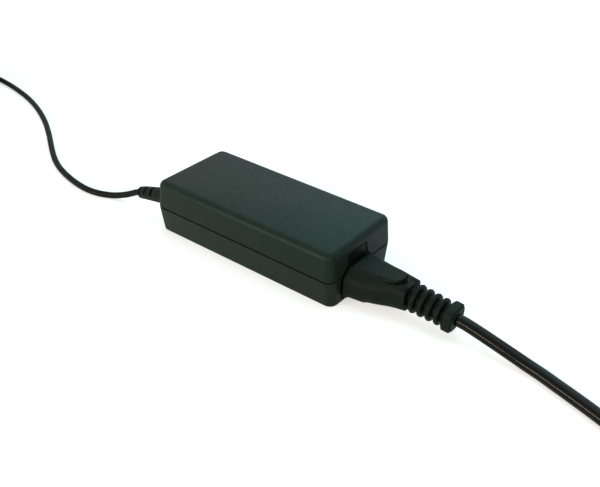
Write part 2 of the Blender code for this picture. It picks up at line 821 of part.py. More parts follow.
def pin_box(y, z, start, end, grow=0.0):
    half_thickness = PIN_SIZE[0] / 2 + grow
    half_height = PIN_SIZE[1] / 2 + grow
    return box((start, y - half_thickness, z - half_height), (end, y + half_thickness, z + half_height))


def build_inlet():
    half_width = NOSE_WIDTH / 2 + GAP + INLET_WALL
    high = INLET_Z + NOSE_HEIGHT / 2 + GAP + INLET_WALL
    rear = INLET_FACE_X - INLET_DEPTH
    housing = part(
        "inlet_housing",
        mesh_from(prism(nose_outline(GAP + INLET_WALL), rear, INLET_FACE_X), "inlet_housing"),
        "inlet_plastic",
    )
    wall_inside = END_X - WALL - UPPER_DRAFT[0] * (CASE_HEIGHT - SEAM_HEIGHT)
    flange_front = wall_inside - GAP
    flange_back = flange_front - INLET_FLANGE_THICKNESS
    tab = INLET_TAB_HALF_WIDTH
    join(
        housing,
        box(
            (flange_back, INLET_Y - tab, INLET_Z),
            (INLET_FACE_X, INLET_Y + tab, INLET_TAB_TOP),
        ),
    )
    join(
        housing,
        box(
            (flange_back, INLET_Y - half_width - INLET_FLANGE, WALL + GAP),
            (flange_front, INLET_Y + half_width + INLET_FLANGE, high + INLET_FLANGE),
        ),
    )
    recess_floor = INLET_FACE_X - RECESS_DEPTH
    cut(housing, prism(nose_outline(GAP), recess_floor, INLET_FACE_X + OVERCUT))
    for name, y, z in pin_places():
        cut(housing, pin_box(y, z, rear - OVERCUT, recess_floor + OVERCUT, GAP))
        pin = pin_box(y, z, rear - PIN_TAIL, recess_floor + PIN_PROJECTION)
        part(f"inlet_pin_{name}", mesh_from(pin, "pin"), "plated_metal")
    return housing


# ---- Mains connector ----
def grip_section(x, middle, size, steps=3):
    """One section of the grip: flat top, sloping shoulders, upright sides, rounded corners."""
    half_width, bottom, crease, top, half_top, rounding = size
    corners = [
        (x, middle - half_width, bottom),
        (x, middle + half_width, bottom),
        (x, middle + half_width, crease),
        (x, middle + half_top, top),
        (x, middle - half_top, top),
        (x, middle - half_width, crease),
    ]
    edge = min(GRIP_ROUNDING, half_width - half_top)
    return rounded_outline(corners, (rounding, rounding, edge, edge, edge, edge), steps)


def build_grip():
    """The grip from its front rim to where the strain relief starts."""
    front = CONNECTOR_FACE_X
    sections = []
    for x, inset in ((0.0, RIM_BEVEL), (RIM_BEVEL, 0.0), (RIM_THICKNESS, 0.0)):
        half_width, bottom, crease, top, half_top, rounding = RIM_SIZE
        size = (
            half_width - inset,
            bottom + inset,
            crease,
            top - inset,
            half_top - inset / 2,
            rounding,
        )
        sections.append(grip_section(front + x, INLET_Y, size))
    first = GRIP_STATIONS[0][0]
    last = GRIP_STATIONS[-1][0]
    for x, *size in GRIP_STATIONS:
        middle = INLET_Y + (GRIP_REAR_Y - INLET_Y) * (x - first) / (last - first)
        sections.append(grip_section(END_X + x, middle, size))
    return loft(sections)


def pad_stations(grow):
    """X and half width of the pad's outline, from its square front to its round rear."""
    front = END_X + PAD_FRONT_X
    straight = END_X + PAD_REAR_X - PAD_HALF_WIDTH
    half_width = PAD_HALF_WIDTH + grow
    stations = [(front + (straight - front) * step / 4, half_width) for step in range(4)]
    for step in range(6):
        angle = math.radians(16.0 * step)
        stations.append((straight + half_width * math.sin(angle), half_width * math.cos(angle)))
    return stations


def pad_slope(x, heights):
    """Height at X on a straight line from the pad's front to its rear."""
    share = (x - END_X - PAD_FRONT_X) / (PAD_REAR_X - PAD_FRONT_X)
    return heights[0] + (heights[1] - heights[0]) * share


def thumb_pad():
    """A pad that rises out of the grip's top to a step at its own rounded rear end."""
    sections = []
    for x, half_width in pad_stations(0.0):
        top = pad_slope(x, PAD_TOP)
        outline = (
            (-half_width, PAD_ROOT),
            (half_width, PAD_ROOT),
            (half_width, top - PAD_EDGE),
            (half_width - PAD_EDGE, top),
            (PAD_EDGE - half_width, top),
            (-half_width, top - PAD_EDGE),
        )
        sections.append([Vector((x, INLET_Y + y, z)) for y, z in outline])
    return loft(sections)


def thumb_groove():
    """Room round the pad that deepens towards its rear."""
    sections = []
    for x, half_width in pad_stations(PAD_GROOVE):
        low = pad_slope(x, PAD_GROOVE_FLOOR)
        high = PAD_GROOVE_FLOOR[0] + OVERCUT
        outline = ((-half_width, low), (half_width, low), (half_width, high), (-half_width, high))
        sections.append([Vector((x, INLET_Y + y, z)) for y, z in outline])
    return loft(sections)


def ribbed_profile(length, ribs, first_rib, pitch, rib_width, rib_radii, core_radii):
    """(radius, distance) points of a strain relief with round ribs, from its start to its end."""

    def between(pair, at):
        return pair[0] + (pair[1] - pair[0]) * at / length

    points = [(0.0, 0.0), (core_radii[0], 0.0)]
    for rib in range(ribs):
        middle = first_rib + pitch * rib
        outer = between(rib_radii, middle)
        for side in (-1, 1):
            edge = middle + side * rib_width / 2
            pair = [
                (between(core_radii, edge), edge),
                (outer - RIB_ROUNDING, edge),
                (outer - 0.3 * RIB_ROUNDING, edge - side * 0.3 * RIB_ROUNDING),
                (outer, edge - side * RIB_ROUNDING),
            ]
            points.extend(pair if side < 0 else reversed(pair))
    points.append((core_radii[1], length))
    points.append((0.0, length))
    return points


def relief_collar(place, length):
    """The block that ends the strain relief, with rounded corners and eased edges."""
    start = length - COLLAR_LENGTH
    sections = []
    for distance, inset in (
        (start, COLLAR_EDGE),
        (start + COLLAR_EDGE, 0.0),
        (length - COLLAR_EDGE, 0.0),
        (length, COLLAR_EDGE),
    ):
        across, up = (half - inset for half in COLLAR_HALF_SIZE)
        corners = [
            (-across, -up, distance),
            (across, -up, distance),
            (across, up, distance),
            (-across, up, distance),
        ]
        outline = rounded_outline(corners, [COLLAR_CORNER] * 4, 4)
        sections.append([place @ point for point in outline])
    return loft(sections)


def turned_outward(points):
    """Order a profile whose distances grow, so that its outer side runs downwards."""
    return list(reversed(points))


def build_mains_connector():
    start = Vector(off_mains_end(RELIEF_START))
    axis = Vector(RELIEF_END) - Vector(RELIEF_START)
    place = along(start, axis)
    connector = part("ac_connector", mesh_from(build_grip(), "ac_connector"), "moulded_rubber")
    cut(connector, thumb_groove())
    join(connector, thumb_pad())
    profile = ribbed_profile(
        axis.length - COLLAR_LENGTH / 2,
        RELIEF_RIBS,
        RELIEF_FIRST_RIB,
        RELIEF_PITCH,
        RELIEF_RIB_WIDTH,
        RELIEF_RIB_RADII,
        RELIEF_CORE_RADII,
    )
    join(connector, turned_bmesh(turned_outward(profile), place))
    join(connector, relief_collar(place, axis.length))
    tip = INLET_FACE_X - NOSE_LENGTH
    join(connector, prism(nose_outline(0.0), tip, CONNECTOR_FACE_X + RIM_THICKNESS))
    contact_start = tip + CONTACT_SETBACK
    contact_end = contact_start + CONTACT_LENGTH
    for name, y, z in pin_places():
        cut(connector, pin_box(y, z, tip - OVERCUT, contact_start + OVERCUT, GAP))
        room = 2 * GAP + CONTACT_WALL
        cut(connector, pin_box(y, z, contact_start - GAP, contact_end + GAP, room))
        sleeve = part(
            f"contact_{name}",
            mesh_from(pin_box(y, z, contact_start, contact_end, GAP + CONTACT_WALL), "contact"),
            "brass",
        )
        cut(sleeve, pin_box(y, z, contact_start - OVERCUT, contact_end + OVERCUT, GAP))
    return smooth(connector, 30.0)


# ---- Mains plug ----
def build_mains_plug():
    rear = Vector(off_mains_end(PLUG_REAR))
    relief_end = rear.x + PLUG_RELIEF_LENGTH
    sections = []
    for distance, half_width, half_height, radius in PLUG_STATIONS:
        x = relief_end + distance
        corners = [
            (x, rear.y - half_width, rear.z - half_height),
            (x, rear.y + half_width, rear.z - half_height),
            (x, rear.y + half_width, rear.z + half_height),
            (x, rear.y - half_width, rear.z + half_height),
        ]
        sections.append(rounded_outline(corners, [radius] * 4, 4))
    plug = part("mains_plug", mesh_from(loft(sections), "mains_plug"), "moulded_rubber")
    profile = ribbed_profile(
        PLUG_RELIEF_LENGTH,
        PLUG_RELIEF_RIBS,
        PLUG_RELIEF_PITCH,
        PLUG_RELIEF_PITCH,
        PLUG_RELIEF_RIB_WIDTH,
        PLUG_RELIEF_RIB_RADII,
        PLUG_RELIEF_CORE_RADII,
    )
    place = along(rear, (1.0, 0.0, 0.0))
    join(plug, turned_bmesh(turned_outward(profile), place, 24))
    face = relief_end + PLUG_STATIONS[-1][0]
    inside = face - PLUG_SOCKET_DEPTH
    blade_z = rear.z - BLADE_DROP
    projection, thickness, height = BLADE_SIZE
    for name, side in (("line", -1), ("neutral", 1)):
        y = rear.y + side * BLADE_SPACING
        low = (inside, y - thickness / 2, blade_z - height / 2)
        high = (face + projection, y + thickness / 2, blade_z + height / 2)
        blade = box(low, high, thickness / 4)
        part(f"plug_blade_{name}", mesh_from(blade, "blade"), "plated_metal")
        room = Vector((GAP, GAP, GAP))
        cut(plug, box(Vector(low) - room, Vector(high) + room))
    earth_z = blade_z + EARTH_RISE
    start = (inside, rear.y, earth_z)
    end = (face + EARTH_PROJECTION, rear.y, earth_z)
    pin = cylinder(EARTH_RADIUS, start, end, "X", 20)
    tip = [e for e in pin.edges if all(v.co.x > end[0] - 1e-6 for v in e.verts)]
    bmesh.ops.bevel(pin, geom=tip, offset=EARTH_RADIUS / 2, segments=3, profile=0.5, affect="EDGES")
    smooth(part("plug_pin_earth", mesh_from(pin, "pin"), "plated_metal"))
    hole_start = (inside - GAP, rear.y, earth_z)
    cut(plug, cylinder(EARTH_RADIUS + GAP, hole_start, end, "X", 20))
    return smooth(plug, 30.0)


# ---- Low-voltage strain relief ----
def build_dc_strain_relief():
    """Trapped between the halves by its neck, and drooping outside with the cable."""
    inner_face = WALL + GAP - END_X
    flange_end = inner_face + DC_FLANGE_LENGTH
    step = 0.00002  # keeps the rings of a sharp step apart
    line = []
    for x, radius in (
        (flange_end, DC_FLANGE_RADIUS),
        (inner_face + step, DC_FLANGE_RADIUS),
        (inner_face, DC_NECK_RADIUS),
    ):
        line.append(((x, DC_EXIT_Y, SEAM_HEIGHT), radius))
    outside = smooth_line([off_exit(point) for point in DC_RELIEF_LINE], 0.0015)
    first = outside[0]
    line.append(((first[0] + step, first[1], first[2]), DC_NECK_RADIUS))
    tip_start = len(outside) - 2
    for index, point in enumerate(outside):
        share = index / (len(outside) - 1)
        radius = DC_RELIEF_RADII[0] + (DC_RELIEF_RADII[1] - DC_RELIEF_RADII[0]) * share
        if index > tip_start:
            radius = DC_TIP_RADIUS
        line.append((tuple(point), radius))
    curve_object = tube("dc_strain_relief", [point for point, _ in line], 2.0, 4, "moulded_rubber")
    for target, (_, radius) in zip(curve_object.data.splines[0].points, line):
        target.radius = radius
    relief = mesh_of_curve(curve_object)
    angle = math.radians(DC_SLOT_ANGLE)
    outward = Vector((0.0, -math.cos(angle), math.sin(angle)))
    for x in DC_SLOTS:
        index = int(np.abs(outside[:, 0] + END_X - x).argmin())
        direction = Vector(outside[index + 1] - outside[index - 1]).normalized()
        share = index / (len(outside) - 1)
        radius = DC_RELIEF_RADII[0] + (DC_RELIEF_RADII[1] - DC_RELIEF_RADII[0]) * share
        for side in (-1, 1):
            away = (outward - direction * outward.dot(direction)).normalized() * side
            across = direction.cross(away)
            turn = Matrix((direction, across, away)).transposed().to_4x4()
            floor = radius - DC_SLOT_DEPTH
            slot = box(
                (-DC_SLOT_WIDTH / 2, -DC_SLOT_SPAN / 2, floor),
                (DC_SLOT_WIDTH / 2, DC_SLOT_SPAN / 2, radius + OVERCUT),
            )
            bmesh.ops.transform(
                slot, matrix=Matrix.Translation(outside[index]) @ turn, verts=slot.verts
            )
            cut(relief, slot)
    return smooth(relief, 40.0), flange_end


def mesh_of_curve(curve_object):
    """Make a curve object a mesh object of the same name, with its caps welded on."""
    bpy.context.view_layer.update()
    depsgraph = bpy.context.evaluated_depsgraph_get()
    mesh = bpy.data.meshes.new_from_object(curve_object.evaluated_get(depsgraph))
    bm = bmesh.new()
    bm.from_mesh(mesh)
    bmesh.ops.remove_doubles(bm, verts=bm.verts, dist=0.000005)
    bmesh.ops.recalc_face_normals(bm, faces=bm.faces)
    bm.to_mesh(mesh)
    bm.free()
    name = curve_object.name
    place = curve_object.matrix_world.copy()
    bpy.data.objects.remove(curve_object, do_unlink=True)
    made = bpy.data.objects.new(name, mesh)
    made.matrix_world = place
    PARTS.objects.link(made)
    return made


# ---- Low-voltage plug ----
def build_dc_plug():
    heading = math.radians(DC_PLUG_HEADING)
    direction = Vector((math.cos(heading), math.sin(heading), 0.0))
    place = along(Vector(off_exit(DC_PLUG_REAR)), direction)
    length = DC_GRIP_PROFILE[-1][0]
    seat = length - DC_SEAT
    bore = DC_BARREL_RADII[0] + GAP
    profile = [(0.0, 0.0)]
    profile += [(radius, distance) for distance, radius in DC_GRIP_PROFILE]
    profile += [(bore, length), (bore, seat - GAP), (0.0, seat - GAP)]
    turned("dc_plug_grip", turned_outward(profile), False, "moulded_rubber", place, 24)
    front = length + DC_BARREL_LENGTH
    pieces = (
        ("dc_plug_barrel", DC_BARREL_RADII, DC_BARREL_RADII[1], seat, front, "plated_metal"),
        (
            "dc_plug_insulator",
            DC_INSULATOR_RADII,
            DC_CONTACT_RADII[1],
            seat,
            front - GAP,
            "component_black",
        ),
        (
            "dc_plug_contact",
            DC_CONTACT_RADII,
            DC_CONTACT_RADII[1],
            seat,
            front - 2 * GAP - DC_LIP,
            "brass",
        ),
    )
    for name, (outer, inner), mouth, start, end, finish in pieces:
        lip = end - (DC_LIP if mouth < inner else 0.0)
        ring = [(outer, end), (outer, start), (inner, start), (inner, lip)]
        if mouth < inner:
            ring += [(mouth, lip), (mouth, end)]
        turned(name, ring, True, finish, place, 20)


# ---- Circuit board and its components ----
def on_board(along_board, across_board):
    """A place of the layout, stretched to the real board."""
    return BOARD_X[0] + ALONG * along_board, ACROSS * across_board


def stretched(size):
    """A length, width and height of the layout, stretched to the real room."""
    return ALONG * size[0], ACROSS * size[1], UPWARD * size[2]


def seated_box(name, size, at, finish, bevel=COMPONENT_BEVEL, above=0.0):
    """A block of the layout's size and place that stands on the board, or above it."""
    x, y = on_board(*at)
    length, width, height = stretched(size)
    z = SEAT_Z + UPWARD * above
    low = (x - length / 2, y - width / 2, z)
    high = (x + length / 2, y + width / 2, z + height)
    return part(name, mesh_from(box(low, high, bevel), name), finish)


def can_profile(radius, length):
    """An electrolytic capacitor: a can with a crimp groove near its base."""
    groove = radius - CAN_CRIMP
    rounding = 2 * CAN_CRIMP
    return [
        (0.0, length),
        (radius - rounding, length),
        (radius, length - rounding),
        (radius, 4 * rounding),
        (groove, 3 * rounding),
        (radius, 2 * rounding),
        (radius, 0.0),
        (0.0, 0.0),
    ]


def build_board():
    top = BOARD_BOTTOM + BOARD_THICKNESS
    board = box((BOARD_X[0], -BOARD_HALF_WIDTH, BOARD_BOTTOM), (BOARD_X[1], BOARD_HALF_WIDTH, top))
    part("circuit_board", mesh_from(board, "board"), "board")
    start, half_width = on_board(SHEET_X[0], SHEET_HALF_WIDTH)
    end, _ = on_board(SHEET_X[1], 0.0)
    bottom = WALL + GAP
    sheet = box((start, -half_width, bottom), (end, half_width, bottom + SHEET_THICKNESS))
    part("insulating_sheet", mesh_from(sheet, "sheet"), "film")


def build_heat_spreader():
    """A plate under the lid, with its long edges folded down."""
    start, outer = on_board(SPREADER_X[0], SPREADER_HALF_WIDTH)
    end, _ = on_board(SPREADER_X[1], 0.0)
    inner = outer - SPREADER_THICKNESS
    top = CEILING - GAP
    low = top - SPREADER_FLANGE
    outline = [
        (-outer, top),
        (outer, top),
        (outer, low),
        (inner, low),
        (inner, SPREADER_BOTTOM),
        (-inner, SPREADER_BOTTOM),
        (-inner, low),
        (-outer, low),
    ]
    spreader = prism(outline, start, end)
    part("heat_spreader", mesh_from(spreader, "heat_spreader"), "aluminium")


def build_heatsink(name, span, side):
    start, outer = on_board(span[0], side * HEATSINK_Y)
    end, _ = on_board(span[1], 0.0)
    inner = outer - side * ACROSS * HEATSINK_THICKNESS
    low = (start, min(outer, inner), SEAT_Z)
    high = (end, max(outer, inner), SPREADER_BOTTOM - GAP)
    part(name, mesh_from(box(low, high), name), "aluminium")


def build_transistor(name, x, side):
    """A three-legged power package that stands flat against its heatsink."""
    leg_width, leg_depth, leg_length = TRANSISTOR_LEG
    back = HEATSINK_Y - HEATSINK_THICKNESS - GAP / ACROSS
    y = side * (back - TRANSISTOR_BODY[1] / 2)
    body = seated_box(name, TRANSISTOR_BODY, (x, y), "component_black", above=leg_length)
    for leg in (-1, 0, 1):
        leg_x, leg_y = on_board(x + leg * LEG_SPACING, y)
        half_width, half_depth, length = stretched((leg_width / 2, leg_depth / 2, leg_length))
        join(
            body,
            box(
                (leg_x - half_width, leg_y - half_depth, SEAT_Z),
                (leg_x + half_width, leg_y + half_depth, SEAT_Z + 1.5 * length),
            ),
        )


def build_cans():
    radius = LYING * BULK_CAPACITOR[0]
    length = ALONG * BULK_CAPACITOR[1]
    x, y = on_board(*BULK_CAPACITOR_AT)
    place = along(Vector((x + length / 2, y, SEAT_Z + radius)), (-1.0, 0.0, 0.0))
    turned("bulk_capacitor", can_profile(radius, length), False, "component_black", place, 24)
    radius = STANDING * OUTPUT_CAPACITOR[0]
    height = UPWARD * OUTPUT_CAPACITOR[1]
    for name, *at in OUTPUT_CAPACITORS_AT:
        x, y = on_board(*at)
        turned(
            f"output_capacitor_{name}",
            can_profile(radius, height),
            False,
            "component_black",
            Matrix.Translation((x, y, SEAT_Z)),
            20,
        )


def build_round_parts():
    radius = STANDING * FUSE[0]
    height = UPWARD * FUSE[1]
    x, y = on_board(*FUSE_AT)
    fuse = cylinder(radius, (x, y, SEAT_Z), (x, y, SEAT_Z + height), segments=20)
    smooth(part("fuse", mesh_from(fuse, "fuse"), "component_black"))
    for name, size, at in (
        ("varistor", VARISTOR, VARISTOR_AT),
        ("y_capacitor", Y_CAPACITOR, Y_CAPACITOR_AT),
    ):
        radius = LYING * size[0]
        half = ALONG * size[1] / 2
        x, y = on_board(*at)
        z = SEAT_Z + radius
        disc = cylinder(radius, (x - half, y, z), (x + half, y, z), "X", 20)
        smooth(part(name, mesh_from(disc, name), "component_blue"))
    radius = STANDING * OUTPUT_CHOKE[0]
    height = UPWARD * OUTPUT_CHOKE[1]
    waist = CHOKE_WAIST * radius
    flange = CHOKE_FLANGE * height
    profile = [
        (0.0, height),
        (radius, height),
        (radius, height - flange),
        (waist, height - flange),
        (waist, flange),
        (radius, flange),
        (radius, 0.0),
        (0.0, 0.0),
    ]
    x, y = on_board(*OUTPUT_CHOKE_AT)
    turned("output_choke", profile, False, "ferrite", Matrix.Translation((x, y, SEAT_Z)), 20)


def ring(outer, inner, low, high):
    return [(outer, high), (outer, low), (inner, low), (inner, high)]


def build_mains_choke():
    """A ring core with a winding on each half."""
    outer, inner = (STANDING * radius for radius in CHOKE_CORE_RADII)
    wire = CHOKE_WIRE + GAP
    low = wire
    high = wire + UPWARD * CHOKE_CORE_HEIGHT
    place = Matrix.Translation((*on_board(*CHOKE_AT), SEAT_Z))
    turned("choke_core", ring(outer, inner, low, high), True, "ferrite", place, 24)
    for name, side in (("left", -1), ("right", 1)):
        section = ring(outer + wire, inner - wire, 0.0, high + wire)
        winding = turned(f"choke_winding_{name}", section, True, "copper", place, 24)
        room = ring(outer + GAP, inner - GAP, low - GAP, high + GAP)
        core = turned("core_room", room, True, "ferrite", place, 24)
        combine(winding, core, "DIFFERENCE")
        reach = 2 * outer
        keep_from, keep_to = sorted((side * CHOKE_SPLIT, side * reach))
        keep = box((keep_from, -reach, -reach), (keep_to, reach, reach))
        bmesh.ops.transform(keep, matrix=place, verts=keep.verts)
        combine(winding, cutter(keep, "keep"), "INTERSECT")
        smooth(winding)


def build_transformer():
    """Two E-shaped core halves in one, and the wound bobbin round the middle leg."""
    at = (TRANSFORMER_X, 0.0)
    core = seated_box("transformer_core", CORE_SIZE, at, "ferrite", 0.0)
    middle, _ = on_board(*at)
    depth, _, height = stretched(CORE_SIZE)
    overhang, leg, yoke = stretched((WINDING_OVERHANG, CORE_LEG / 2, CORE_YOKE))
    window = ACROSS * CORE_WINDOW
    low = SEAT_Z + yoke
    high = SEAT_Z + height - yoke
    reach = depth / 2 + OVERCUT
    for side in (-1, 1):
        near, far = sorted((side * leg, side * (leg + window)))
        cut(core, box((middle - reach, near, low), (middle + reach, far, high)))
    half_x = depth / 2 + overhang
    half_y = leg + window - GAP
    bobbin = box(
        (middle - half_x, -half_y, low + GAP),
        (middle + half_x, half_y, high - GAP),
        WINDING_BEVEL,
        2,
    )
    winding = part("transformer_winding", mesh_from(bobbin, "winding"), "component_yellow")
    room = depth / 2 + GAP
    cut(
        winding,
        box(
            (middle - room, -leg - GAP, low - OVERCUT),
            (middle + room, leg + GAP, high + OVERCUT),
        ),
    )


def build_wires(start_x):
    """From the end of the low-voltage cable down to the board."""
    start = start_x + GAP
    for name, side, finish in (("positive", -1, "wire_red"), ("negative", 1, "component_black")):
        y = DC_EXIT_Y + side * WIRE_SPREAD
        route = (
            (start, y, SEAM_HEIGHT),
            (start + 0.0014, y, SEAM_HEIGHT - 0.0001),
            (start + 0.0036, y, SEAM_HEIGHT - 0.0020),
            (start + 0.0046, y, SEAM_HEIGHT - 0.0050),
            (start + 0.0048, y, SEAT_Z),
        )
        tube(f"dc_wire_{name}", smooth_line(route, 0.0020), WIRE_DIAMETER, 1, finish)


def build_electronics():
    build_board()
    build_heat_spreader()
    build_heatsink("primary_heatsink", PRIMARY_HEATSINK_X, -1)
    build_heatsink("secondary_heatsink", SECONDARY_HEATSINK_X, 1)
    build_transistor("switching_transistor", SWITCH_X, -1)
    build_transistor("output_rectifier", RECTIFIER_X, 1)
    build_cans()
    build_round_parts()
    build_mains_choke()
    build_transformer()
    seated_box("x_capacitor", X_CAPACITOR, X_CAPACITOR_AT, "component_yellow")
    seated_box("bridge_rectifier", BRIDGE, BRIDGE_AT, "component_black")
    seated_box("controller_chip", CHIP, CHIP_AT, "component_black")
    seated_box("optocoupler", OPTOCOUPLER, OPTOCOUPLER_AT, "component_black")


# ---- Cables ----
def off_mains_end(point):
    """A point whose X is counted from the mains end of the housing."""
    return (END_X + point[0], *point[1:])


def off_exit(point):
    """A point whose X and Y are counted from where the low-voltage lead leaves the housing."""
    return (point[0] - END_X, DC_EXIT_Y + point[1], *point[2:])


def leave(point, direction, diameter):
    """Where a cable starts that leaves a face squarely, and where its straight run ends."""
    way = np.array(direction) / np.linalg.norm(direction)
    start = np.array(point) + way * GAP
    return start, start + way * diameter


def stretch_between(leaving, route, arriving, step):
    """A smooth line over a route, with a straight run at each end."""
    line = smooth_line((leaving[1], *route, arriving[1]), step)
    return np.vstack([leaving[0], line, arriving[0]])


def build_cable(prefix, leaving, route, coil, tail_route, arriving, diameter, resolution):
    """The stretch from the strain relief to the coil, the coil, and the tail to the plug."""
    step = 2.5 * diameter
    coil_start = leave(coil[0], coil[0] - coil[1], diameter)
    coil_end = leave(coil[-1], coil[-1] - coil[-2], diameter)
    stretch = stretch_between(leaving, route, coil_start, step)
    tail = stretch_between(coil_end, tail_route, arriving, step)
    tube(f"{prefix}_cord", stretch, diameter, resolution, "cable_jacket")
    tube(f"{prefix}_coil", coil, diameter, 1, "cable_jacket")
    tube(f"{prefix}_cord_tail", tail, diameter, resolution, "cable_jacket")
    least_gap(f"{prefix}_coil", coil, diameter)
    print(f"{prefix} cable: {length_of(stretch, coil, tail):.3f} m from end to end")


def build_cables():
    ac_coil = coil_line(
        off_mains_end(AC_COIL_CENTRE),
        AC_COIL_RADIUS,
        AC_PITCH,
        AC_COIL_STEPS,
        AC_COIL_LAYERS,
        AC_COIL_START,
        AC_DIAMETER,
    )
    build_cable(
        "ac",
        leave(off_mains_end(RELIEF_END), AC_LEAVING, AC_DIAMETER),
        [off_mains_end(point) for point in AC_ROUTE],
        ac_coil,
        [off_mains_end(point) for point in AC_TAIL_ROUTE],
        leave(off_mains_end(PLUG_REAR), (-1.0, 0.0, 0.0), AC_DIAMETER),
        AC_DIAMETER,
        3,
    )
    dc_coil = coil_line(
        off_exit(DC_COIL_CENTRE),
        DC_COIL_RADIUS,
        DC_PITCH,
        DC_COIL_STEPS,
        DC_COIL_LAYERS,
        DC_COIL_START,
        DC_DIAMETER,
    )
    dc_leaving = np.array(DC_RELIEF_LINE[-1]) - np.array(DC_RELIEF_LINE[-2])
    heading = math.radians(DC_PLUG_HEADING)
    build_cable(
        "dc",
        leave(off_exit(DC_RELIEF_LINE[-1]), dc_leaving, DC_DIAMETER),
        [off_exit(point) for point in DC_ROUTE],
        dc_coil,
        [off_exit(point) for point in DC_TAIL_ROUTE],
        leave(off_exit(DC_PLUG_REAR), (-math.cos(heading), -math.sin(heading), 0.0), DC_DIAMETER),
        DC_DIAMETER,
        2,
    )


clear_scene()
PARTS = collection("laptop_power_adapter")
CUTTERS = collection("cutters")
build_upper_case()
build_lower_case()
build_inlet()
build_electronics()
_, relief_inner_end = build_dc_strain_relief()
build_wires(relief_inner_end)
build_mains_connector()
build_mains_plug()
build_dc_plug()
build_cables()
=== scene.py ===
"""Looks of a laptop power adapter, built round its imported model: camera, cords, finishes and light.

Metres, +Z up, in the model's own frame.
"""

import json
import math

import bmesh
import bpy
import numpy as np
from mathutils import Matrix, Vector


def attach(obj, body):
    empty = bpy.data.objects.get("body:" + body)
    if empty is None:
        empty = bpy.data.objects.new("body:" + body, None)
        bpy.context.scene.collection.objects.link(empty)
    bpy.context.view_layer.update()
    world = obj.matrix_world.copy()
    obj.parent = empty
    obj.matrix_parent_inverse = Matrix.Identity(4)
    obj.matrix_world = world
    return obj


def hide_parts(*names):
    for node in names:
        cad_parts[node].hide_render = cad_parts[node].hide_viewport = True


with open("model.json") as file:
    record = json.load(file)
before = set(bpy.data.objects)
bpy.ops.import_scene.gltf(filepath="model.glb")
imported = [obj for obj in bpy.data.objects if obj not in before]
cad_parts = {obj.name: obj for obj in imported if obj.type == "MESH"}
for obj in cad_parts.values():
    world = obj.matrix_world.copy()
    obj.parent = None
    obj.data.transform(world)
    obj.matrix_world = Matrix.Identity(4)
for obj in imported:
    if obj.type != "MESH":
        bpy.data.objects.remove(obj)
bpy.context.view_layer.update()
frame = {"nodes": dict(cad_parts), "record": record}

# ---- Camera, at the photograph's angle ----
CAMERA_PLACE = (0.244228, -0.285902, 0.245135)
CAMERA_RIGHT = (0.78132967, 0.62399427, 0.01245397)
CAMERA_UP = (-0.34708792, 0.41784629, 0.83960375)
CAMERA_AHEAD = (-0.51870408, 0.66032994, -0.54305658)
CAMERA_LENS = 50.96  # millimetres
SENSOR_WIDTH = 36.0  # millimetres
NEAREST_SEEN = 0.01

# ---- Cord routes, as in the model ----
GAP = 0.0003  # from a cord's end to the moulding that holds it
TIE_ROOM = 0.0005  # under each coil
COIL_STEP = 15.0  # degrees from one point of a coil to the next
ROUTE_SPACING = 2.5  # of a route's points, in cord diameters
LINE_SPACING = 0.6  # of the finished line's points, in cord diameters
CURVE_STEPS = 24  # between two given points of a smooth curve
CORD_ROUNDNESS = 6  # for 16 points round its section
AC = {
    "diameter": 0.0061,
    "leave": ((0.1131, -0.0030, 0.0092), (1.0, -0.01, -0.12)),
    "route": (
        (0.1247, -0.0035, 0.0075),
        (0.1299, -0.0037, 0.0067),
        (0.1350, -0.0040, 0.0059),
        (0.1402, -0.0042, 0.0048),
        (0.1452, -0.0044, 0.0037),
        (0.1500, -0.0049, 0.0031),
        (0.1550, -0.0060, 0.0031),
        (0.1660, -0.0090, 0.0031),
        (0.1780, -0.0125, 0.0031),
        (0.1900, -0.0161, 0.0031),
        (0.2020, -0.0201, 0.0033),
    ),
    "coil": {
        "centre": (0.2406, 0.0087),
        "radius": 0.0340,
        "pitch": 0.00665,
        "steps": 147,
        "layers": 4,
        "start": -112.0,
    },
    "tail": ((0.2780, -0.0185, 0.0230), (0.2880, -0.0162, 0.0195)),
    "arrive": ((0.3060, -0.0155, 0.0123), (-1.0, 0.0, 0.0)),
    "tie_angle": 118.0,
}
DC_HEADING = math.radians(-15.0)
DC = {
    "diameter": 0.0036,
    "leave": ((-0.0825, -0.0153, 0.0095), (-0.0035, 0.0, -0.0012)),
    "route": (
        (-0.0890, -0.0157, 0.0067),
        (-0.0959, -0.0166, 0.0036),
        (-0.1023, -0.0190, 0.0020),
        (-0.1085, -0.0218, 0.0018),
        (-0.1167, -0.0236, 0.0018),
        (-0.1260, -0.0235, 0.0018),
        (-0.1372, -0.0217, 0.0018),
        (-0.1480, -0.0189, 0.0018),
        (-0.1590, -0.0147, 0.0018),
        (-0.1705, -0.0086, 0.0018),
        (-0.1820, -0.0014, 0.0018),
        (-0.1970, 0.0083, 0.0018),
        (-0.2140, 0.0182, 0.0018),
        (-0.2320, 0.0268, 0.0018),
        (-0.2510, 0.0338, 0.0018),
        (-0.2700, 0.0386, 0.0018),
        (-0.2900, 0.0418, 0.0020),
    ),
    "coil": {
        "centre": (-0.3190, 0.0175),
        "radius": 0.0194,
        "pitch": 0.0041,
        "steps": 299,
        "layers": 4,
        "start": 90.0,
    },
    "tail": ((-0.3120, -0.0108, 0.0139), (-0.3030, -0.0132, 0.0108), (-0.2950, -0.0153, 0.0074)),
    "arrive": ((-0.2890, -0.0169, 0.0056), (-math.cos(DC_HEADING), -math.sin(DC_HEADING), 0.0)),
    "tie_angle": 20.0,
}

